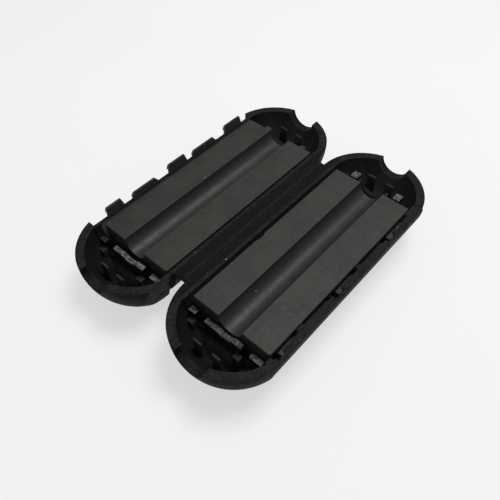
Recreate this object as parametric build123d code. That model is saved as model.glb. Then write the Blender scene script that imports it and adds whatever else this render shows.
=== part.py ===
"""Clip-on ferrite bead, lying open.

One black moulding holds two half cores.  The moulding is two boat-shaped half
cases joined by a thin strap that folds, so it is written here as two solids
that meet on the fold line.  Millimetres, +Z up, Y along the cable.  The origin
is on the ground under the middle of the fold line.
"""
import os

from build123d import *

# Ferrite half core
CORE_WIDTH = 13.1
CORE_LENGTH = 32.25
CHANNEL_R = 2.03
CORE_FLAT = 0.3
CORE_CORNER = 0.35
CORE_EDGE = 0.08

# How far each core lies off the middle of its bed, across and along
CORE_SHIFT_LATCH = (0.1, 0.0)
CORE_SHIFT_CATCH = (0.27, -0.36)

# Chip in the hinge edge of the catch core, corners in plan and depth
CHIP = ((-6.9, -6.3), (-6.25, -2.4), (-6.9, -0.35))
CHIP_DEPTH = 0.45
CHIP_SLANT = 20

# Case walls, measured out from the bed that holds the core
CORE_CLEAR = 0.38
NEAR_CLEAR = 0.65
FAR_CLEAR = 0.25
HINGE_WALL = 0.87
LATCH_WALL = 0.47
CATCH_WALL = 1.07
NEAR_CAP_BULGE = 1.79
FAR_CAP_BULGE = 1.59
CAP_SINK = 0.45
CAP_WALL = 1.27
CAP_INSET = 0.785
FOOT_CUT = 1.07
RIM_DROP = 0.15

# The waist is slimmer than the caps between these distances from the cap centres
WAIST_NEAR_HINGE = 0.26
WAIST_FAR_HINGE = 0.06
WAIST_NEAR_OUTER = 2.01
WAIST_FAR_OUTER = 1.16
CATCH_FAR_OUTER = 1.86
STEP_ROUND = 0.7

# Bulkheads, end openings and the cut on the near cap beside the strap
BULKHEAD = 0.8
BULKHEAD_DROP = 4.2
OPENING_EASE = 0.37
CORNER_CUT = 0.25
CORNER_DRAFT = 16.0

# Folding strap
STRAP_REACH = 1.43
STRAP_ROOT = 0.5
STRAP_THICK = 0.45
FOLD_THICK = 0.28
FOLD_HALF_WIDTH = 0.3

# Hooks and guide tabs on the latch half: where each starts and its length at the foot
HOOKS = ((-14.9, 3.3), (-2.65, 4.05), (10.15, 4.2))
HOOK_FLARE = 0.6
HOOK_RISE = 1.7
HOOK_CORNER = 0.15
GUIDES = ((-10.1, 5.5), (2.55, 5.75))
GUIDE_FLARE = 0.95
GUIDE_RISE = 1.1
GUIDE_CORNER = 0.35
TAB_THICK = 0.36
TAB_INSET = 0.12
TAB_ROOT = 0.85
BARB = 0.25
BARB_LOW = 0.75
BARB_TOP_GAP = 0.15

# Pockets that take them on the catch half
FIT_SIDE = 0.1
FIT_LONG = 0.2
FIT_DEEP = 0.25
CATCH_GAP = 0.1
WELL_LENGTH = 1.9
WELL_WIDTH = 1.0
WELL_DEPTH = 3.2

# Stops for the core ends: span across the case and drop below the core face
LOW_LUGS = ((-6.3, -5.1), (-3.4, 3.0), (4.35, 6.3))
LOW_LUG_DROP = 1.95
MID_LUG = (0.95, 3.0)
MID_LUG_DROP = 1.6
TALL_LUGS = ((-3.9, -2.75), (3.75, 4.85))
TALL_LUG_DROP = {"latch": 0.95, "catch": 0.2}
TALL_LUG_REACH = {"latch": 0.0, "catch": 0.25}
TALL_LUG_BACK = 0.4
CRADLE_HALF_WIDTH = 2.6
CRADLE_DROP = 0.8
CRADLE_EASE = 0.2
STOP_ROOT = 0.4

# Posts before the near bulkhead and cable grips across both caps
POSTS = ((-5.9, -4.9), (2.3, 3.35))
POST_DROP = 3.2
POST_REACH = 0.85
GRIPS = ((-2.75, -1.3), (0.6, 1.95))
GRIP_PLACE = 4.85
GRIP_THICK = 0.3
GRIP_DROP = 2.05

CORE_R = CORE_WIDTH / 2
SEAT_R = CORE_R + CORE_CLEAR
SEAT_NEAR = -CORE_LENGTH / 2 - NEAR_CLEAR
SEAT_FAR = CORE_LENGTH / 2 + FAR_CLEAR
WAIST_R = SEAT_R + HINGE_WALL
LATCH_SIDE_R = SEAT_R + LATCH_WALL
TAB_FACE_R = LATCH_SIDE_R - TAB_INSET
CATCH_SIDE_R = TAB_FACE_R + FIT_SIDE + CATCH_WALL
CAP_R = {-1: SEAT_R + NEAR_CAP_BULGE, 1: SEAT_R + FAR_CAP_BULGE}
POCKET_R = {side: radius - CAP_WALL for side, radius in CAP_R.items()}
CAP_Y = CORE_LENGTH / 2 - CAP_INSET
WAIST_HINGE = (-CAP_Y - WAIST_NEAR_HINGE, CAP_Y + WAIST_FAR_HINGE)
WAIST_OUTER = (-CAP_Y - WAIST_NEAR_OUTER, CAP_Y + WAIST_FAR_OUTER)
FACE_Z = CAP_R[-1] + CAP_SINK - FOOT_CUT
HALF_SPACING = WAIST_R + STRAP_REACH
BIG = 60.0


def block(x0, x1, y0, y1, z0, z1):
    """Solid box between two corners."""
    size = Box(x1 - x0, y1 - y0, z1 - z0)
    return Pos((x0 + x1) / 2, (y0 + y1) / 2, (z0 + z1) / 2) * size


def rod(radius, y0, y1):
    """Cylinder lying along Y about the core axis."""
    bar = Rot(90, 0, 0) * Cylinder(radius, y1 - y0)
    return Pos(0, (y0 + y1) / 2, 0) * bar


def ball_end(radius, side, start, sink=0.0):
    """Ball on a cap centre, kept beyond one station."""
    y0, y1 = sorted((side * start, side * BIG))
    ball = Pos(0, side * CAP_Y, -sink) * Sphere(radius)
    return ball & block(-BIG, BIG, y0, y1, -BIG, BIG)


def sunk_rod(x, y0, y1):
    """Rod of the waist's radius, sunk as deep as the caps are."""
    return Pos(x, 0, -CAP_SINK) * rod(WAIST_R, y0, y1)


def outer_form(flank, trim):
    """Outside of one half: two caps and a slimmer waist on flat feet."""
    body = ball_end(CAP_R[-1], -1, -WAIST_HINGE[0], CAP_SINK)
    body += sunk_rod(0, *WAIST_HINGE)
    body += ball_end(CAP_R[1], 1, WAIST_HINGE[1], CAP_SINK)
    if flank:
        body += flank
    body &= block(-BIG, BIG, -BIG, BIG, -FACE_Z, -RIM_DROP)
    return body - trim


def corner_trim():
    """Sloping relief on the near cap beside the strap, for a strap on +X."""
    wedge = block(0, BIG, -BIG, WAIST_HINGE[0], -BIG, BIG)
    return Pos(WAIST_R - CORNER_CUT, 0, 0) * Rot(0, CORNER_DRAFT, 0) * wedge


def step_round():
    """Rounding for the upright corner where the latch side steps out to the far cap."""
    x1 = STEP_ROUND - (CAP_R[1] ** 2 - WAIST_FAR_OUTER**2) ** 0.5
    y0 = WAIST_OUTER[1]
    y1 = y0 + STEP_ROUND
    corner = block(-BIG, x1, y0, y1, -BIG, BIG)
    return corner - Pos(x1, y1, 0) * Cylinder(STEP_ROUND, 2 * BIG)


def latch_form():
    """Outside of the latch half: an upright outer wall that steps in from both caps."""
    trim = block(-BIG, -LATCH_SIDE_R, *WAIST_OUTER, -BIG, BIG)
    return outer_form(None, trim + step_round() + corner_trim())


def catch_form():
    """Outside of the catch half: one rounded outer wall that runs into the caps."""
    spread = CATCH_SIDE_R - WAIST_R
    outside = block(spread, BIG, -BIG, BIG, -BIG, BIG)
    far = CAP_Y + CATCH_FAR_OUTER
    flank = sunk_rod(spread, WAIST_HINGE[0], far) & outside
    flank += block(0, spread, *WAIST_HINGE, -CAP_SINK - WAIST_R, 0)
    return outer_form(flank, outside - sunk_rod(spread, -BIG, BIG))


def bulkhead_span(side):
    """Stations of the bulkhead at the near (-1) or far (+1) end of the bed."""
    if side < 0:
        return SEAT_NEAR - BULKHEAD, SEAT_NEAR
    return SEAT_FAR, SEAT_FAR + BULKHEAD


def core_seat():
    """Bed for one core, with a flat floor."""
    seat = rod(SEAT_R, SEAT_NEAR, SEAT_FAR)
    return seat & block(-BIG, BIG, -BIG, BIG, CORE_FLAT - CORE_R, BIG)


def end_pocket(side):
    """Hollow cap beyond a bulkhead, with a way over the bulkhead to the bed."""
    y0, y1 = bulkhead_span(side)
    over = rod(SEAT_R, y0, y1) & block(-BIG, BIG, y0, y1, -BULKHEAD_DROP, BIG)
    return ball_end(POCKET_R[side], side, max(abs(y0), abs(y1))) + over


def cable_opening(side):
    """Half-round mouth in an end wall."""
    y0, y1 = sorted((side * (CAP_Y + POCKET_R[side] / 2 + GRIP_PLACE / 2), side * BIG))
    return rod(CHANNEL_R + OPENING_EASE, y0, y1)


def stop_block(x0, x1, drop, side):
    """Upright stop on a bulkhead."""
    y0, y1 = bulkhead_span(side)
    return block(x0, x1, y0, y1, -BULKHEAD_DROP - STOP_ROOT, -drop)


def tall_lug(x0, x1, kind):
    """Stop that stands up beside the far end of the core."""
    y0, y1 = bulkhead_span(1)
    low = -BULKHEAD_DROP - STOP_ROOT
    y0 -= TALL_LUG_REACH[kind]
    y1 += TALL_LUG_BACK
    return block(x0, x1, y0, y1, low, -TALL_LUG_DROP[kind])


def end_stops(kind):
    """Lugs at the near end, cradle and tall lugs at the far end."""
    stops = [stop_block(x0, x1, LOW_LUG_DROP, -1) for x0, x1 in LOW_LUGS]
    stops.append(stop_block(*MID_LUG, MID_LUG_DROP, -1))
    stops.append(stop_block(-CRADLE_HALF_WIDTH, CRADLE_HALF_WIDTH, CRADLE_DROP, 1))
    stops += [tall_lug(x0, x1, kind) for x0, x1 in TALL_LUGS]
    group = stops[0]
    for stop in stops[1:]:
        group += stop
    return group - rod(CHANNEL_R + CRADLE_EASE, -BIG, BIG)


def pocket_ribs(form):
    """Posts before the near bulkhead and grip fins in both caps, down to the pocket floor."""
    front = bulkhead_span(-1)[0]
    ribs = [block(x0, x1, front - POST_REACH, front, -SEAT_R, -POST_DROP) for x0, x1 in POSTS]
    for side in (-1, 1):
        y0 = side * (CAP_Y + GRIP_PLACE) - GRIP_THICK / 2
        ribs += [block(x0, x1, y0, y0 + GRIP_THICK, -SEAT_R, -GRIP_DROP) for x0, x1 in GRIPS]
    group = ribs[0]
    for rib in ribs[1:]:
        group += rib
    return group & form


def strap(hinge):
    """Half of the folding strap, out to the fold line."""
    x0, x1 = sorted((hinge * (WAIST_R - STRAP_ROOT), hinge * HALF_SPACING))
    y0, y1 = WAIST_HINGE
    web = block(x0, x1, y0, y1, -RIM_DROP - STRAP_THICK, -RIM_DROP)
    g0, g1 = sorted((hinge * (HALF_SPACING - FOLD_HALF_WIDTH), hinge * HALF_SPACING))
    return web - block(g0, g1, y0, y1, -RIM_DROP - STRAP_THICK, -RIM_DROP - FOLD_THICK)


def shell(form, hinge, kind):
    """Moulded half without its latch details."""
    body = form - core_seat()
    for side in (-1, 1):
        body -= end_pocket(side)
        body -= cable_opening(side)
    return body + pocket_ribs(form) + end_stops(kind) + strap(hinge)


def tab_plate(start, length, flare, rise, near_corner):
    """Upright plate on the outer wall; its far edge slopes to the rim."""
    y0 = start
    y1 = start + length
    outline = Polyline(
        (y0, -TAB_ROOT - RIM_DROP),
        (y0, rise - near_corner),
        (y0 + near_corner, rise),
        (y1 - flare, rise),
        (y1, -RIM_DROP),
        (y1, -TAB_ROOT - RIM_DROP),
        close=True,
    )
    plate = extrude(Plane.YZ * make_face(outline), TAB_THICK)
    return Pos(-TAB_FACE_R, 0, 0) * plate


def barb(start, length):
    """Catch ridge near the top of a hook, on its outer face."""
    top = HOOK_RISE - BARB_TOP_GAP
    outline = Polyline((0, BARB_LOW), (-BARB, BARB_LOW), (0, top), close=True)
    ridge = extrude(Plane.XZ * make_face(outline), length - HOOK_FLARE)
    return Pos(-TAB_FACE_R, start + length - HOOK_FLARE, 0) * ridge


def latch_half():
    """Half with the hooks, its fold line on the +X side."""
    body = shell(latch_form(), 1, "latch")
    for start, length in HOOKS:
        body += tab_plate(start, length, HOOK_FLARE, HOOK_RISE, HOOK_CORNER)
        body += barb(start, length)
    for start, length in GUIDES:
        body += tab_plate(start, length, GUIDE_FLARE, GUIDE_RISE, GUIDE_CORNER)
    return body


def tab_pocket(start, length, rise):
    """Room for one tab when the halves are shut."""
    y0 = start - FIT_LONG
    y1 = start + length + FIT_LONG
    return block(CORE_R, TAB_FACE_R + FIT_SIDE, y0, y1, -rise - FIT_DEEP, BIG)


def catch_recess(start, length):
    """Undercut in the outer wall that holds a barb."""
    y0 = start - FIT_LONG
    y1 = start + length - HOOK_FLARE + FIT_LONG
    x1 = TAB_FACE_R + BARB + CATCH_GAP
    return block(CORE_R, x1, y0, y1, -HOOK_RISE - FIT_DEEP, -BARB_LOW + CATCH_GAP)


def latch_well(start):
    """Deep well at the near end of each hook pocket."""
    y1 = start + FIT_LONG
    return block(CORE_R, SEAT_R + WELL_WIDTH, y1 - WELL_LENGTH, y1, -WELL_DEPTH, BIG)


def catch_half():
    """Half with the pockets, its fold line on the -X side."""
    body = shell(catch_form(), -1, "catch")
    for start, length in HOOKS:
        body -= tab_pocket(start, length, HOOK_RISE)
        body -= catch_recess(start, length)
        body -= latch_well(start)
    for start, length in GUIDES:
        body -= tab_pocket(start, length, GUIDE_RISE)
    return body


def core_section():
    """Half disc with a flat back, the channel and bevelled outer edges."""
    depth = CORE_R - CORE_FLAT
    disc = Circle(CORE_R) & Pos(0, -depth / 2) * Rectangle(BIG, depth)
    disc -= Circle(CHANNEL_R)
    for side in (-1, 1):
        bevel = Rot(0, 0, 45) * Rectangle(CORE_EDGE * 2**0.5, CORE_EDGE * 2**0.5)
        disc -= Pos(side * CORE_R, 0) * bevel
    return disc


def core_envelope():
    """Plan with rounded corners, and bevels along the end edges."""
    half = CORE_LENGTH / 2
    plan = extrude(RectangleRounded(CORE_WIDTH, CORE_LENGTH, CORE_CORNER), -CORE_R)
    outline = Polyline(
        (-half, -CORE_R),
        (-half, -CORE_EDGE),
        (-half + CORE_EDGE, 0),
        (half - CORE_EDGE, 0),
        (half, -CORE_EDGE),
        (half, -CORE_R),
        close=True,
    )
    lengthwise = extrude(Plane.YZ * make_face(outline), CORE_WIDTH)
    return plan & (Pos(-CORE_R, 0, 0) * lengthwise)


def half_core(shift):
    """Half cylinder of ferrite with the cable channel along its flat face."""
    section = Plane.XZ * core_section()
    body = Pos(0, CORE_LENGTH / 2, 0) * extrude(section, CORE_LENGTH)
    return Pos(*shift, 0) * (body & core_envelope())


def edge_chip():
    """Wedge broken out of the hinge edge of a core, narrower towards its floor."""
    return extrude(make_face(Polyline(*CHIP, close=True)), -CHIP_DEPTH, taper=CHIP_SLANT)


def main():
    """Build every node in the open pose and write it out."""
    os.makedirs("parts", exist_ok=True)
    core_latch = half_core(CORE_SHIFT_LATCH)
    core_catch = half_core(CORE_SHIFT_CATCH) - Pos(*CORE_SHIFT_CATCH, 0) * edge_chip()
    left = Pos(-HALF_SPACING, 0, FACE_Z)
    right = Pos(HALF_SPACING, 0, FACE_Z)
    nodes = {
        "case_latch_half": left * latch_half(),
        "case_catch_half": right * catch_half(),
        "core_latch_half": left * core_latch,
        "core_catch_half": right * core_catch,
    }
    for name, solid in nodes.items():
        export_step(solid, f"parts/{name}.step")


main()
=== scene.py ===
"""Looks of the open clip-on ferrite bead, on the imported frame."""
import math

import bmesh
import bpy
from mathutils import Matrix, Vector


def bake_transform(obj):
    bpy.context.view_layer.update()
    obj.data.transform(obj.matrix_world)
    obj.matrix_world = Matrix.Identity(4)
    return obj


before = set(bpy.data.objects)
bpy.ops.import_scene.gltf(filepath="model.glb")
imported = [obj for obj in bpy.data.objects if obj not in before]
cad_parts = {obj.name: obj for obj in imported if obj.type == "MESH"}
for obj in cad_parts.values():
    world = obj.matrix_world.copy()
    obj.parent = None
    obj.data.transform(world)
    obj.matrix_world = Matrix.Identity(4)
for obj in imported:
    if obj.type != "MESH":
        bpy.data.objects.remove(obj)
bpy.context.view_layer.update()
scene = bpy.context.scene
scene.view_settings.view_transform = "Standard"

MM = 0.001

# Camera fitted to the photograph: metres and radians, lens and sensor in millimetres
CAMERA_TARGET = (0.003489, -0.005829, 0.0081)
CAMERA_AZIMUTH = 0.7185
CAMERA_ELEVATION = 0.8960
CAMERA_ROLL = 0.0032
CAMERA_DISTANCE = 0.0734968
CAMERA_LENS = 37.895
CAMERA_SENSOR = 36.0
CAMERA_CLIP = (0.001, 10.0)

# Light, metres and watts: a plain room, which the camera sees paler than it shines,
# a soft box overhead towards the far side and a weak one on the near side
WORLD_LEVEL = 0.33
WORLD_SEEN = 0.88
LIGHT_AIM = (0, 0, 0.006)
KEY_PLACE = (0.025, 0.08, 0.265)
KEY_SIZE = (0.12, 0.12)
KEY_POWER = 0.52
FILL_PLACE = (-0.1, -0.25, 0.16)
FILL_SIZE = (0.2, 0.2)
FILL_POWER = 0.05

# Floor, metres
FLOOR_SIZE = 3.0
FLOOR_CELLS = 8
FLOOR_GLOW = 0.6
FLOOR_ROUGHNESS = 0.9
FLOOR_DARK = (0.80, 0.80, 0.80)
FLOOR_LIGHT = (0.82, 0.82, 0.82)

# Places on the case, millimetres: from the fold, across a half, along the bead or up
HALF_SPACING = 9.23
STRAP_EDGE = 1.75
STRAP_UNDERSIDE = 7.6
WALL_TOP = 7.825
RIM_LEVEL = 7.9
RIM_LINE_FOOT = 7.75
CAP_STATION = 15.34
CAP_HOLLOW_R = 7.75
CAP_RIM_R = 8.3
RELIEF_REACH = 4.5
BED_END = 16.4
POCKET_START = 16.3
POCKET_SHADE = (1.5, 4.0)
POST_SPAN = (17.6, 18.5)
POST_TOP = 5.0
GRIP_SPAN = (20.0, 20.4)
GRIP_TOP = 6.15
RIB_REACH = 6.25
RIB_FOOT = 1.3
SEAT_REACH = 7.1
SLOT_SPAN = (15.5, 17.1)
SLOT_END = 17.1
SLOT_FOOT = 4.25
GUIDE_FLOOR = (6.6, 6.9)
TAB_FOOT = 8.0
LUG_SPAN = (16.3, 17.75)
LUG_HEIGHTS = (5.8, 8.0)
LUG_REACH = 6.75
CRADLE_REACH = 2.55
MIDDLE_LUG_REACH = 3.25
CORNER_LUG_START = 13.75

# Places on the ferrite, millimetres
CORE_MIDDLE = HALF_SPACING + 0.15
CHANNEL_EDGE = 2.175
CHANNEL_TOP = 8.025

# Web over the fold, millimetres: its ends, half width, faces, crown and ripple.
# Its waves and steps are pairs, across it and along it
WEB_NEAR = -15.605
WEB_FAR = 15.405
WEB_HALF = 0.42
WEB_TOP = 7.951
WEB_LOW = 7.66
WEB_CROWN = 0.016
WEB_RIPPLE = 0.004
WEB_WAVES = (3.0, 2.1)
WEB_STEPS = (20, 60)

# Surfaces of the case, colours in linear light
CASE_DARK = (0.0036, 0.0034, 0.0035)
CASE_LIGHT = (0.0200, 0.0190, 0.0190)
# Painted shade on the upright sides below the rim
CASE_SIDE_PAINTED_SHADE = (0.0056, 0.0044, 0.0044)
# Painted shade: dark line round the outside of the rim
CASE_RIM_PAINTED_SHADE = (0.0010, 0.0009, 0.0009)
# Pale edges: partly wear, partly painted highlight
CASE_EDGE_WEAR_AND_HIGHLIGHT = (0.030, 0.029, 0.029)
# Painted shade: the strap darker, for the dark it reflects
STRAP_PAINTED_SHADE = (0.0018, 0.0019, 0.0024)
# Painted light in the hollow caps; the lit near walls are painted darker
POCKET_WALL_PAINTED_LIGHT = (0.0125, 0.0140, 0.0143)
POCKET_FLOOR_PAINTED_LIGHT = (0.2000, 0.2100, 0.2100)
POCKET_LIT_WALL_PAINTED_DARKER = (0.0115, 0.0124, 0.0128)
POCKET_FAR_WALL_PAINTED_LIGHT = (0.0260, 0.0280, 0.0300)
# Painted light on the sides and tops of the posts and grips
RIB_SIDE_PAINTED_LIGHT = (0.0400, 0.0430, 0.0440)
RIB_TOP_PAINTED_LIGHT = (0.0320, 0.0320, 0.0330)
# Painted light in the shaded gaps beside the cores and in the slots
GAP_INNER_PAINTED_LIGHT = (0.0240, 0.0240, 0.0240)
GAP_OUTER_PAINTED_LIGHT = (0.1000, 0.0950, 0.0950)
# Painted light on the hooks and tabs, painted highlight on their near side
TAB_PAINTED_LIGHT = (0.0520, 0.0520, 0.0530)
TAB_SIDE_PAINTED_HIGHLIGHT = (0.1300, 0.1300, 0.1300)
# Painted highlight on the tops of the end stops
LUG_PAINTED_HIGHLIGHT = (0.150, 0.150, 0.137)
DUST = (0.20, 0.20, 0.19)
CASE_SPECULAR = 0.035

# Surfaces of the ferrite
FERRITE_DARK = (0.0130, 0.0130, 0.0127)
FERRITE_LIGHT = (0.0375, 0.0375, 0.0345)
FERRITE_WARM = (0.0330, 0.0338, 0.0262)
# Painted shade: a cool, darker tint on the channel walls
FERRITE_WALL_PAINTED_SHADE = (0.0190, 0.0180, 0.0240)
# Painted highlight on the edges
FERRITE_EDGE_HIGHLIGHT = (0.110, 0.110, 0.102)
# Painted shading on the near end faces
FERRITE_END_PAINTED_SHADING = (0.022, 0.022, 0.020)
# Painted light on the shaded flanks
FERRITE_FLANK_PAINTED_LIGHT = (0.040, 0.040, 0.040)
FERRITE_PIT = (0.015, 0.015, 0.015)
FERRITE_SPECULAR = 0.3

# Dust and burrs, place and radius in millimetres
CASE_SPECKS = (
    ((1.98, -9.13, 7.95), 0.13),
    ((-2.11, -11.08, 7.95), 0.09),
    ((16.60, 11.59, 7.95), 0.15),
    ((16.26, -1.05, 7.95), 0.13),
    ((-7.86, -22.70, 7.90), 0.2),
    ((8.86, -22.81, 7.90), 0.2),
)
FERRITE_SPECKS = (
    ((-11.42, 0.44, 8.08), 0.13),
    ((8.03, -9.76, 6.70), 0.11),
)


def add_camera():
    """Camera at the photograph's viewing angle."""
    ce, se = math.cos(CAMERA_ELEVATION), math.sin(CAMERA_ELEVATION)
    ca, sa = math.cos(CAMERA_AZIMUTH), math.sin(CAMERA_AZIMUTH)
    back = Vector((sa * ce, -ca * ce, se))
    right = Vector((ca, sa, 0))
    up = back.cross(right)
    cr, sr = math.cos(CAMERA_ROLL), math.sin(CAMERA_ROLL)
    right, up = right * cr + up * sr, up * cr - right * sr
    data = bpy.data.cameras.new("camera")
    data.sensor_width = CAMERA_SENSOR
    data.sensor_fit = "HORIZONTAL"
    data.lens = CAMERA_LENS
    data.clip_start, data.clip_end = CAMERA_CLIP
    camera = bpy.data.objects.new("camera", data)
    scene.collection.objects.link(camera)
    spin = Matrix((right, up, back)).transposed().to_4x4()
    place = Vector(CAMERA_TARGET) + back * CAMERA_DISTANCE
    camera.matrix_world = Matrix.Translation(place) @ spin
    scene.camera = camera


def area_light(name, place, size, power):
    """Soft box that looks at the object."""
    data = bpy.data.lights.new(name, "AREA")
    data.shape = "RECTANGLE"
    data.size, data.size_y = size
    data.energy = power
    light = bpy.data.objects.new(name, data)
    scene.collection.objects.link(light)
    light.location = place
    aim = Vector(LIGHT_AIM) - Vector(place)
    light.rotation_euler = aim.to_track_quat("-Z", "Y").to_euler()


def add_world():
    """Even room light, paler where the camera looks past the floor."""
    world = bpy.data.worlds.new("world")
    scene.world = world
    world.use_nodes = True
    nodes, links = world.node_tree.nodes, world.node_tree.links
    background = nodes["Background"]
    background.inputs["Color"].default_value = (1, 1, 1, 1)
    rays = nodes.new("ShaderNodeLightPath")
    level = nodes.new("ShaderNodeMapRange")
    level.inputs["To Min"].default_value = WORLD_LEVEL
    level.inputs["To Max"].default_value = WORLD_SEEN
    links.new(rays.outputs["Is Camera Ray"], level.inputs["Value"])
    links.new(level.outputs[0], background.inputs["Strength"])


class Graph:
    """Short calls that build the nodes of one material, in millimetres."""

    def __init__(self, name):
        self.material = bpy.data.materials.new(name)
        self.material.use_nodes = True
        self.nodes = self.material.node_tree.nodes
        self.links = self.material.node_tree.links
        self.shader = self.nodes["Principled BSDF"]
        coordinates = self.node("TexCoord")
        scaled = self.node("VectorMath", operation="SCALE")
        self.feed(scaled.inputs[0], coordinates.outputs["Object"])
        scaled.inputs["Scale"].default_value = 1 / MM
        self.place = scaled.outputs[0]
        self.x, self.y, self.z = self.split(self.place)
        normal = self.split(coordinates.outputs["Normal"])
        self.up = normal[2]
        # Facing the near end: 1, the far end: -1
        self.near = self.math("MULTIPLY", normal[1], -1.0)
        self.flank = self.math("ABSOLUTE", normal[0])
        # Facing away from the fold: 1, towards it: -1
        self.outward = self.math("MULTIPLY", normal[0], self.math("SIGN", self.x))

    def node(self, kind, **settings):
        node = self.nodes.new("ShaderNode" + kind)
        for key, value in settings.items():
            setattr(node, key, value)
        return node

    def feed(self, socket, value):
        """Link a socket to another one, or write a plain value into it."""
        if isinstance(value, bpy.types.NodeSocket):
            self.links.new(value, socket)
        else:
            socket.default_value = value

    def split(self, vector):
        node = self.node("SeparateXYZ")
        self.feed(node.inputs[0], vector)
        return node.outputs

    def math(self, operation, a, b=0.0):
        node = self.node("Math", operation=operation)
        self.feed(node.inputs[0], a)
        self.feed(node.inputs[1], b)
        return node.outputs[0]

    def product(self, first, *others):
        for other in others:
            first = self.math("MULTIPLY", first, other)
        return first

    def largest(self, first, *others):
        for other in others:
            first = self.math("MAXIMUM", first, other)
        return first

    def blend(self, *shares):
        """Weighted sum of (value, weight) pairs."""
        total = self.product(*shares[0])
        for value, weight in shares[1:]:
            total = self.math("ADD", total, self.product(value, weight))
        return total

    def without(self, mask, share=1.0):
        """One where the mask is nothing, less by its share where it is one."""
        return self.math("SUBTRACT", 1.0, self.product(mask, share))

    def ramp(self, value, low, high, start=0.0, end=1.0):
        """Smooth step from start to end while the value goes from low to high."""
        node = self.node("MapRange", interpolation_type="SMOOTHSTEP")
        for key, entry in zip(("Value", "From Min", "From Max", "To Min", "To Max"),
                              (value, low, high, start, end)):
            self.feed(node.inputs[key], entry)
        return node.outputs[0]

    def above(self, value, level, soft):
        """One over the level and nothing under it, with a soft step between."""
        return self.ramp(value, level - soft, level + soft)

    def below(self, value, level, soft):
        """One under the level and nothing over it, with a soft step between."""
        return self.ramp(value, level - soft, level + soft, 1.0, 0.0)

    def band(self, value, span, soft):
        """One inside the span, falling to nothing outside."""
        low, high = span
        return self.product(self.ramp(value, low - soft, low),
                            self.ramp(value, high, high + soft, 1.0, 0.0))

    def noise(self, size, detail=2.0, stretch=(1, 1, 1), seed=0.0):
        """Cloud noise around 0.5, in patches about size across."""
        scaled = self.node("VectorMath", operation="MULTIPLY")
        self.feed(scaled.inputs[0], self.place)
        scaled.inputs[1].default_value = [s / size for s in stretch]
        cloud = self.node("TexNoise", noise_dimensions="4D")
        self.feed(cloud.inputs["Vector"], scaled.outputs[0])
        cloud.inputs["W"].default_value = seed
        cloud.inputs["Scale"].default_value = 1.0
        cloud.inputs["Detail"].default_value = detail
        return cloud.outputs[0]

    def mix(self, factor, a, b):
        """Blend two colours."""
        node = self.node("Mix", data_type="RGBA")
        self.feed(node.inputs[0], factor)
        for socket, colour in ((node.inputs[6], a), (node.inputs[7], b)):
            self.feed(socket, (*colour, 1) if isinstance(colour, tuple) else colour)
        return node.outputs[2]

    def spot(self, place, radius):
        """Ragged spot round a place."""
        gap = self.node("VectorMath", operation="DISTANCE")
        self.feed(gap.inputs[0], self.place)
        gap.inputs[1].default_value = place
        wobble = self.ramp(self.noise(0.15, seed=7.0), 0.3, 0.7, 0.7, 1.3)
        reach = self.product(gap.outputs["Value"], wobble)
        return self.ramp(reach, radius * 0.7, radius, 1.0, 0.0)

    def spots(self, specks):
        """All spots of a list of places and radii."""
        return self.largest(*[self.spot(place, radius) for place, radius in specks])

    def distance(self, parts):
        """Length of a vector with these three parts."""
        joined = self.node("CombineXYZ")
        for socket, part in zip(joined.inputs, parts):
            self.feed(socket, part)
        node = self.node("VectorMath", operation="LENGTH")
        self.feed(node.inputs[0], joined.outputs[0])
        return node.outputs["Value"]

    def bevel(self, radius):
        """Normal rounded over the edges, and how near to an edge the point is."""
        node = self.node("Bevel", samples=6)
        node.inputs["Radius"].default_value = radius * MM
        dot = self.node("VectorMath", operation="DOT_PRODUCT")
        self.feed(dot.inputs[0], node.outputs[0])
        self.feed(dot.inputs[1], self.node("NewGeometry").outputs["True Normal"])
        return node.outputs[0], self.math("SUBTRACT", 1.0, dot.outputs["Value"])

    def bump(self, height, distance, normal, strength):
        node = self.node("Bump")
        node.inputs["Strength"].default_value = strength
        node.inputs["Distance"].default_value = distance * MM
        self.feed(node.inputs["Height"], height)
        self.feed(node.inputs["Normal"], normal)
        return node.outputs[0]

    def finish(self, colour, roughness, specular, normal):
        """Give the shader its values."""
        self.feed(self.shader.inputs["Base Color"], colour)
        self.feed(self.shader.inputs["Roughness"], roughness)
        self.shader.inputs["Specular IOR Level"].default_value = specular
        self.feed(self.shader.inputs["Normal"], normal)
        return self.material


class CaseGraph(Graph):
    """Graph that also knows its place on the case."""

    def __init__(self, name):
        super().__init__(name)
        self.from_fold = self.math("ABSOLUTE", self.x)
        self.past_middle = self.math("SUBTRACT", self.from_fold, HALF_SPACING)
        self.across = self.math("ABSOLUTE", self.past_middle)
        self.along = self.math("ABSOLUTE", self.y)
        self.catch_side = self.ramp(self.x, 0.0, 1.0)
        self.far_end = self.ramp(self.y, 0.0, 1.0)
        self.latch_side = self.without(self.catch_side)
        self.near_end = self.without(self.far_end)
        self.upright = self.below(self.up, 0.5, 0.2)
        self.not_under = self.above(self.up, -0.125, 0.075)
        self.below_rim = self.below(self.z, WALL_TOP, 0.075)
        self.from_cap = self.distance((self.across,
                                       self.math("SUBTRACT", self.along, CAP_STATION),
                                       self.math("SUBTRACT", self.z, RIM_LEVEL)))
        self.hollow = self.below(self.from_cap, CAP_HOLLOW_R, 0.15)
        self.patches = self.ramp(self.noise(2.2, 3.0), 0.35, 0.65)
        self.grain = self.ramp(self.noise(0.28, 3.0, seed=3.0), 0.32, 0.68)
        self.strap = self.product(self.below(self.from_fold, STRAP_EDGE, 0.15),
                                  self.above(self.z, STRAP_UNDERSIDE, 0.1))


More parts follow.
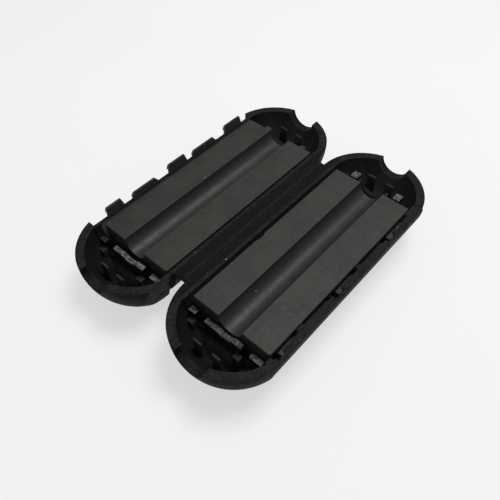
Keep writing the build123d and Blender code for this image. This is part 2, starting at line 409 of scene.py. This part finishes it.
def moulded_colour(g):
    """Mottled nylon, with painted shade along the strap, standing in for the dark it reflects,
    and painted shade down the upright sides.
    """
    tone = g.blend((g.patches, 0.3), (g.grain, 0.7))
    colour = g.mix(tone, CASE_DARK, CASE_LIGHT)
    streaks = g.ramp(g.noise(0.5, 2.0, (1, 0.12, 1), seed=5.0), 0.3, 0.7, 0.75, 1.0)
    # Painted shade: the strap coloured darker, for the dark it reflects; the streaks along it
    # are its grain
    colour = g.mix(g.product(g.strap, streaks), colour, STRAP_PAINTED_SHADE)
    # Painted shade on the upright sides below the rim
    return g.mix(g.product(g.upright, g.below_rim, 0.85), colour, CASE_SIDE_PAINTED_SHADE)


def add_pockets(g, colour):
    """Hollow caps with painted light: cool, palest deep down and on the far walls, where little
    light falls, less pale on the near walls that face the key lamp.
    """
    relief = g.product(g.below(g.outward, -0.3, 0.1), g.below(g.from_fold, RELIEF_REACH, 0.1))
    pocket = g.product(g.hollow, g.below_rim, g.above(g.along, POCKET_START, 0.1),
                       g.without(relief))
    # Painted light: paler deeper down and on far walls facing the near end; near walls facing
    # the key lamp painted darker
    pocket_light = g.mix(g.ramp(g.z, *POCKET_SHADE, 1.0, 0.0), POCKET_WALL_PAINTED_LIGHT, POCKET_FLOOR_PAINTED_LIGHT)
    pocket_light = g.mix(g.product(g.far_end, g.above(g.near, 0.4, 0.3)), pocket_light, POCKET_FAR_WALL_PAINTED_LIGHT)
    pocket_light = g.mix(g.product(g.near_end, g.below(g.near, -0.3, 0.2)), pocket_light, POCKET_LIT_WALL_PAINTED_DARKER)
    mottle = g.ramp(g.patches, 0.0, 1.0, 0.75, 1.0)
    return g.mix(g.product(pocket, mottle), colour, pocket_light)


def add_ribs(g, colour):
    """Posts and cable grips in the pockets, with painted light on their shaded sides and their
    tops.
    """
    posts = g.product(g.band(g.along, POST_SPAN, 0.03), g.below(g.z, POST_TOP, 0.1))
    grips = g.product(g.band(g.along, GRIP_SPAN, 0.03), g.below(g.z, GRIP_TOP, 0.05))
    square = g.largest(*[g.above(facing, 0.925, 0.025) for facing in (g.near, g.flank, g.up)])
    ribs = g.product(g.largest(posts, grips), g.hollow, g.below(g.across, RIB_REACH, 0.05),
                     g.above(g.z, RIB_FOOT, 0.1), square)
    # Painted light: sides and tops of the posts and grips painted apart
    return g.mix(ribs, colour, g.mix(g.above(g.up, 0.7, 0.2), RIB_SIDE_PAINTED_LIGHT, RIB_TOP_PAINTED_LIGHT))


def add_gaps(g, colour):
    """Painted light on the shaded walls round the cores, and in the slots that take hooks and
    guides.
    """
    side = g.math("SIGN", g.past_middle)
    seat = g.product(g.below(g.across, SEAT_REACH, 0.05), g.upright, g.below_rim,
                     g.below(g.along, BED_END, 0.1), g.not_under,
                     g.below(g.product(g.outward, side), 0.15, 0.15))
    outer = g.ramp(g.past_middle, 0.0, 1.0)
    # Painted light on the shaded walls beside the cores
    colour = g.mix(seat, colour, g.mix(outer, GAP_INNER_PAINTED_LIGHT, GAP_OUTER_PAINTED_LIGHT))
    guide_floor = g.product(g.band(g.z, GUIDE_FLOOR, 0.02), g.above(g.up, 0.65, 0.15))
    slots = g.product(g.band(g.x, SLOT_SPAN, 0.1), g.below_rim,
                      g.below(g.along, SLOT_END, 0.1), g.above(g.z, SLOT_FOOT, 0.25),
                      g.below(g.outward, 0.3, 0.1), g.not_under, g.without(guide_floor, 0.8))
    # Painted light in the slots
    return g.mix(slots, colour, GAP_OUTER_PAINTED_LIGHT)


def add_tabs(g, colour):
    """Hooks and guide tabs with painted light, and a painted highlight on the side that faces
    the near end.
    """
    tabs = g.product(g.above(g.z, TAB_FOOT, 0.1), g.below(g.outward, 0.45, 0.15))
    patchy = g.ramp(g.grain, 0.0, 1.0, 0.6, 1.0)
    # Painted light on the tabs, patchy
    colour = g.mix(g.product(tabs, patchy), colour, TAB_PAINTED_LIGHT)
    # Painted highlight on the side facing the near end
    return g.mix(g.product(tabs, g.above(g.near, 0.7, 0.1)), colour, TAB_SIDE_PAINTED_HIGHLIGHT)


def add_lugs(g, colour):
    """Tops of the end stops with a painted highlight, patchy, held back on some and most on the
    far latch-side ones, which lie in shade.
    """
    lugs = g.product(g.band(g.along, LUG_SPAN, 0.05), g.below(g.across, LUG_REACH, 0.05),
                     g.largest(g.near_end, g.above(g.across, CRADLE_REACH, 0.15)),
                     g.band(g.z, LUG_HEIGHTS, 0.05), g.above(g.up, 0.55, 0.15))
    far_latch = g.product(g.latch_side, g.far_end)
    middle = g.product(g.below(g.across, MIDDLE_LUG_REACH, 0.05), g.near_end, g.catch_side)
    corner = g.product(g.above(g.from_fold, CORNER_LUG_START, 0.25), g.near_end, g.latch_side)
    # Painted highlight, held back where the stops lie in shade
    lug_highlight = g.product(g.ramp(g.noise(0.4, 2.0, seed=9.0), 0.38, 0.6, 0.2, 1.0),
                       g.without(far_latch, 0.6), g.without(middle, 0.4),
                       g.without(corner, 0.85))
    return g.mix(g.product(lugs, lug_highlight), colour, LUG_PAINTED_HIGHLIGHT)


def add_edges(g, colour, edge):
    """Pale edges, partly scuffs and partly painted highlight, and a painted shade line round
    the outside of the rim.
    """
    # Pale edges: partly wear, partly painted highlight
    pale_edge = g.product(g.ramp(edge, 0.02, 0.25),
                     g.ramp(g.noise(0.6, 3.0, seed=2.0), 0.4, 0.65))
    colour = g.mix(pale_edge, colour, CASE_EDGE_WEAR_AND_HIGHLIGHT)
    # Painted shade: a dark line round the outside of the rim
    rim = g.product(g.ramp(edge, 0.01, 0.1), g.above(g.from_cap, CAP_RIM_R, 0.1),
                    g.above(g.z, RIM_LINE_FOOT, 0.05))
    return g.mix(rim, colour, CASE_RIM_PAINTED_SHADE)


def case_material():
    """Black moulded nylon: matte, mottled and dusty, with painted light and shade in its
    hollows, gaps, tabs and stops and down its sides, and pale edges that are partly wear and
    partly painted highlight.
    """
    g = CaseGraph("case")
    colour = moulded_colour(g)
    for add in (add_pockets, add_ribs, add_gaps, add_tabs, add_lugs):
        colour = add(g, colour)
    normal, edge = g.bevel(0.09)
    # The seam along the fold is no real edge
    edge = g.product(edge, g.ramp(g.from_fold, 0.2, 0.4))
    colour = add_edges(g, colour, edge)
    lint = g.product(g.ramp(g.noise(0.22, 1.0, seed=4.0), 0.74, 0.79), 0.5)
    colour = g.mix(g.largest(lint, g.spots(CASE_SPECKS)), colour, DUST)

    gloss = g.ramp(g.noise(1.2, 3.0, seed=6.0), 0.3, 0.7, 0.48, 0.6)
    gloss = g.product(gloss, g.without(g.strap, 0.35))
    normal = g.bump(g.noise(1.5, 2.0, seed=1.0), 0.06, normal, 0.5)
    normal = g.bump(g.noise(0.1, 2.0, seed=8.0), 0.012, normal, 0.7)
    return g.finish(colour, gloss, CASE_SPECULAR, normal)


def ferrite_material():
    """Ground ferrite: warm grey, speckled, with lapping lines, painted highlights on the edges,
    painted light on the shut-in flanks, painted shading on the near end faces and painted shade
    on the channel walls.
    """
    g = Graph("ferrite")
    from_middle = g.math("SUBTRACT", g.math("ABSOLUTE", g.x), CORE_MIDDLE)
    channel = g.product(g.below(g.math("ABSOLUTE", from_middle), CHANNEL_EDGE, 0.075),
                        g.below(g.z, CHANNEL_TOP, 0.025))
    clouds = g.ramp(g.noise(5.0, 3.0), 0.3, 0.7)
    grain = g.ramp(g.noise(0.2, 3.0, seed=3.0), 0.32, 0.68)
    lines = g.ramp(g.noise(0.22, 2.0, (0.05, 1, 1), seed=5.0), 0.3, 0.7)
    tone = g.blend((clouds, 0.3), (grain, 0.45), (lines, 0.25))
    colour = g.mix(tone, FERRITE_DARK, FERRITE_LIGHT)
    stain = g.ramp(g.noise(3.5, 2.0, seed=11.0), 0.45, 0.65, 0.0, 0.6)
    colour = g.mix(stain, colour, FERRITE_WARM)
    pits = g.ramp(g.noise(0.3, 1.0, seed=4.0), 0.72, 0.78)
    colour = g.mix(g.product(pits, 0.5), colour, FERRITE_PIT)

    normal, edge = g.bevel(0.07)
    # Painted highlight along the edges
    pale_edge = g.product(g.ramp(edge, 0.01, 0.2),
                     g.ramp(g.noise(0.5, 3.0, seed=2.0), 0.3, 0.55, 0.3, 1.0))
    colour = g.mix(pale_edge, colour, FERRITE_EDGE_HIGHLIGHT)
    # Painted light on the shaded flanks
    flank_light = g.product(g.ramp(g.flank, 0.6, 0.9), g.without(channel))
    colour = g.mix(flank_light, colour, FERRITE_FLANK_PAINTED_LIGHT)
    # Painted shading on the faces towards the near end
    colour = g.mix(g.ramp(g.near, 0.6, 0.9), colour, FERRITE_END_PAINTED_SHADING)
    # Painted shade: a cool, darker tint on the channel walls
    channel_wall_shade = g.product(channel, g.ramp(g.flank, 0.25, 0.7), 0.7)
    colour = g.mix(channel_wall_shade, colour, FERRITE_WALL_PAINTED_SHADE)
    colour = g.mix(g.spots(FERRITE_SPECKS), colour, DUST)

    ground = g.ramp(g.noise(0.8, 3.0, seed=6.0), 0.3, 0.7, 0.5, 0.6)
    ground = g.product(ground, g.without(channel, 0.1))
    normal = g.bump(lines, 0.006, normal, 0.5)
    normal = g.bump(grain, 0.008, normal, 0.6)
    return g.finish(colour, ground, FERRITE_SPECULAR, normal)


def floor_material():
    """Pale matte floor: part of its white holds also in the object's shadow."""
    g = Graph("floor")
    cloud = g.ramp(g.noise(40.0), 0.3, 0.7)
    g.feed(g.shader.inputs["Base Color"], g.mix(cloud, FLOOR_DARK, FLOOR_LIGHT))
    g.shader.inputs["Roughness"].default_value = FLOOR_ROUGHNESS
    g.shader.inputs["Specular IOR Level"].default_value = 0.0
    rays = g.node("LightPath").outputs
    seen = g.largest(*[rays[f"Is {kind} Ray"] for kind in ("Camera", "Glossy", "Transmission")])
    glow = g.node("Emission")
    mixer = g.node("MixShader")
    g.feed(mixer.inputs[0], g.product(seen, FLOOR_GLOW))
    g.feed(mixer.inputs[1], g.shader.outputs[0])
    g.feed(mixer.inputs[2], glow.outputs[0])
    g.feed(g.nodes["Material Output"].inputs["Surface"], mixer.outputs[0])
    return g.material


def add_floor():
    """Wide floor under the object, which is no part of it."""
    bpy.ops.mesh.primitive_grid_add(x_subdivisions=FLOOR_CELLS, y_subdivisions=FLOOR_CELLS,
                                    size=FLOOR_SIZE)
    floor = bpy.context.object
    floor.name = "floor"
    floor.data.materials.append(floor_material())


def web_ring(y):
    """Points across the web at one station: its crowned top and its flat underside."""
    top, low = [], []
    for step in range(WEB_STEPS[0] + 1):
        t = 2.0 * step / WEB_STEPS[0] - 1.0
        ripple = WEB_RIPPLE * math.sin(WEB_WAVES[1] * y + WEB_WAVES[0] * t)
        top.append((t * WEB_HALF, y, WEB_TOP + (WEB_CROWN + ripple) * (1 - t * t)))
        low.append((t * WEB_HALF, y, WEB_LOW))
    return top, low


def fold_web():
    """Thin web over the fold line."""
    builder = bmesh.new()
    rings = []
    for row in range(WEB_STEPS[1] + 1):
        y = WEB_NEAR + (WEB_FAR - WEB_NEAR) * row / WEB_STEPS[1]
        rings.append([[builder.verts.new([c * MM for c in point]) for point in line]
                      for line in web_ring(y)])
    for (top, low), (next_top, next_low) in zip(rings, rings[1:]):
        for i in range(WEB_STEPS[0]):
            builder.faces.new((top[i], top[i + 1], next_top[i + 1], next_top[i]))
            builder.faces.new((low[i + 1], low[i], next_low[i], next_low[i + 1]))
        builder.faces.new((low[0], top[0], next_top[0], next_low[0]))
        builder.faces.new((top[-1], low[-1], next_low[-1], next_top[-1]))
    for (top, low), turn in ((rings[0], 1), (rings[-1], -1)):
        for i in range(WEB_STEPS[0]):
            builder.faces.new((low[i], low[i + 1], top[i + 1], top[i])[::turn])
    mesh = bpy.data.meshes.new("fold_web")
    builder.normal_update()
    builder.to_mesh(mesh)
    builder.free()
    web = bpy.data.objects.new("fold_web", mesh)
    scene.collection.objects.link(web)
    for polygon in mesh.polygons:
        polygon.use_smooth = abs(polygon.normal.z) > 0.5
    return web


add_camera()

case = case_material()
ferrite = ferrite_material()
for name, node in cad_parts.items():
    node.data.materials.clear()
    node.data.materials.append(ferrite if name.startswith("core") else case)

web = fold_web()
web.data.materials.append(case)
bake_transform(web)

add_floor()
add_world()
area_light("key", KEY_PLACE, KEY_SIZE, KEY_POWER)
area_light("fill", FILL_PLACE, FILL_SIZE, FILL_POWER)
